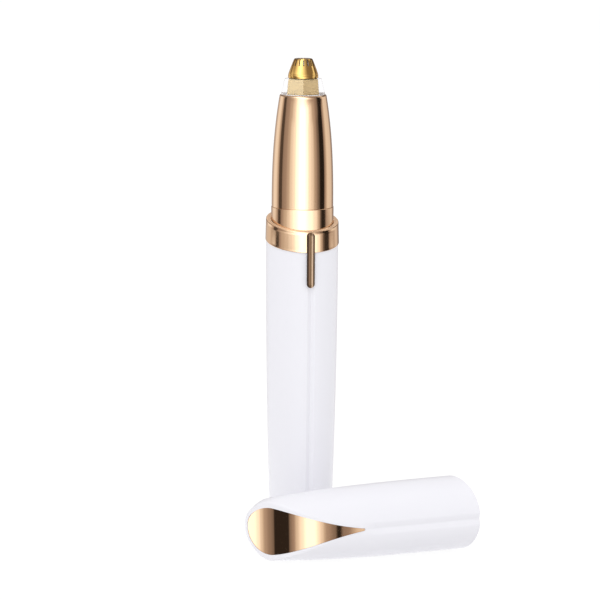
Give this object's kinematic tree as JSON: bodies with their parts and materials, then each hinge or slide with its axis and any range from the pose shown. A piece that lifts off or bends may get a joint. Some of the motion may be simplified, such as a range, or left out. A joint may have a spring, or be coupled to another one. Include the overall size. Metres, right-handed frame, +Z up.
{
  "type": "electric eyebrow trimmer",
  "caption": "Slim pen-shaped eyebrow trimmer standing open: white battery sleeve, slanted gold ring with slide switch, gold head with slotted tip, and its scooped white cap lying in front.",
  "frame": {"origin": "centre of the sleeve's flat foot, on the surface the trimmer stands on", "axes": "+Z up along the trimmer's axis, -Y towards the slide switch and the crease, the cap lies in front at -Y with its closed end towards -X"},
  "size_m": [0.0584, 0.0469, 0.1271],
  "materials": {
    "white_plastic": "glossy moulded ABS",
    "rose_gold": "rose-gold electroplated ABS, mirror-bright",
    "yellow_gold": "gold-plated, bright",
    "cream_plastic": "satin",
    "clear_plastic": "clear, polished",
    "ivory_plastic": "moulded, inside the shell",
    "black_plastic": "moulded",
    "steel": "plain steel",
    "contact_brass": "stamped strip, nickel-free brass",
    "green_board": "circuit board with solder resist",
    "ferrite": "sintered",
    "cell_wrap": "printed wrap without lettering",
    "rubber": "soft moulded",
    "red_wire": "insulation",
    "black_wire": "insulation"
  },
  "bodies": {
    "battery_sleeve": {"battery_sleeve": "white_plastic"},
    "core": {"chassis": "ivory_plastic", "battery_cell": "cell_wrap", "battery_spring": "steel", "negative_contact": "contact_brass", "plus_contact": "contact_brass", "seal_ring": "rubber", "middle_ring": "rose_gold", "collar": "rose_gold", "head_cone": "rose_gold", "motor_holder": "ivory_plastic", "motor_can": "steel", "motor_magnet": "ferrite", "motor_end_cap": "black_plastic", "lamp_board": "green_board", "lamp_left": "clear_plastic", "lamp_right": "clear_plastic", "switch_board": "green_board", "board_screw_1": "steel", "board_screw_2": "steel", "motor_lead_red": "red_wire", "motor_lead_black": "black_wire", "lamp_lead_red": "red_wire", "lamp_lead_black": "black_wire"},
    "switch": {"switch_bar": "rose_gold", "switch_carrier": "black_plastic", "switch_wiper": "contact_brass"},
    "rotor": {"motor_armature": "steel", "motor_shaft": "steel", "drive_coupling": "black_plastic"},
    "cutting_head": {"head_base": "cream_plastic", "clear_ring": "clear_plastic", "slotted_tip": "yellow_gold", "cutter_bush": "contact_brass"},
    "cutter": {"cutter_blade": "steel", "cutter_shaft": "steel"},
    "cap": {"cap_shell": "white_plastic", "cap_inlay": "rose_gold"}
  },
  "joints": [
    {"name": "core_lift", "type": "slide", "parent": "battery_sleeve", "child": "core", "axis": [0, 0, 1], "range_m": [0, 0.078]},
    {"name": "switch_slide", "type": "slide", "parent": "core", "child": "switch", "axis": [0, 0, 1], "range_m": [0, 0.002]},
    {"name": "motor_spin", "type": "hinge", "parent": "core", "child": "rotor", "pos_m": [0, 0, 0.1], "axis": [0, 0, 1], "continuous": true},
    {"name": "head_pull", "type": "slide", "parent": "core", "child": "cutting_head", "axis": [0, 0, 1], "range_m": [0, 0.012]},
    {"name": "cutter_spin", "type": "hinge", "parent": "cutting_head", "child": "cutter", "pos_m": [0, 0, 0.12], "axis": [0, 0, 1], "continuous": true},
    {"name": "cap_lift", "type": "slide", "parent": "battery_sleeve", "child": "cap", "axis": [0, 0, 1], "range_m": [0, 0.06]}
  ],
  "couplings": [
    {"joint": "cutter_spin", "follows": "motor_spin", "ratio": 1}
  ]
}
